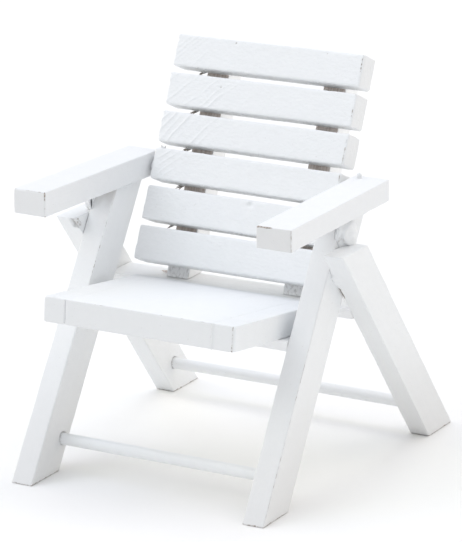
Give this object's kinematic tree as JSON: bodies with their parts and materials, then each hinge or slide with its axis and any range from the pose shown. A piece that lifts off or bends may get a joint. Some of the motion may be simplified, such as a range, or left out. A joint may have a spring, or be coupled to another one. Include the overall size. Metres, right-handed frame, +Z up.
{
  "type": "miniature garden armchair",
  "caption": "Miniature white-painted wooden garden armchair with crossed legs, a slatted leaning back, a boarded seat and flat square armrests.",
  "frame": {"origin": "on the floor, in the middle of the chair's width and depth", "axes": "+Z up, the chair faces -Y; left and right in node names are -X and +X, as seen from the front"},
  "size_m": [0.0972, 0.1099, 0.1201],
  "materials": {
    "painted_legs": "white paint on sawn softwood, satin, thin on the arrises",
    "painted_arms": "white paint on sawn softwood, satin",
    "half_painted_uprights": "bare softwood on the front, thin white paint on the sides and back",
    "painted_dowels": "white paint on a round stick, satin",
    "painted_rails": "thin white paint on flat strip",
    "painted_seat": "white paint on planed softwood, satin",
    "painted_slats": "white paint on rough-sawn softwood, bare and torn on the lower edges",
    "set_glue": "set glue painted over in white"
  },
  "bodies": {
    "root": {"front_leg_left": "painted_legs", "front_leg_right": "painted_legs", "rear_leg_left": "painted_legs", "rear_leg_right": "painted_legs", "armrest_left": "painted_arms", "armrest_right": "painted_arms", "back_upright_left": "half_painted_uprights", "back_upright_right": "half_painted_uprights", "front_stretcher": "painted_dowels", "rear_stretcher": "painted_dowels", "front_rail": "painted_rails", "rear_rail": "painted_rails", "seat_strip_left": "painted_seat", "seat_board_centre": "painted_seat", "seat_strip_right": "painted_seat", "back_slat_1": "painted_slats", "back_slat_2": "painted_slats", "back_slat_3": "painted_slats", "back_slat_4": "painted_slats", "back_slat_5": "painted_slats", "back_slat_6": "painted_slats", "leg_glue": "set_glue", "back_glue": "set_glue"}
  },
  "joints": []
}
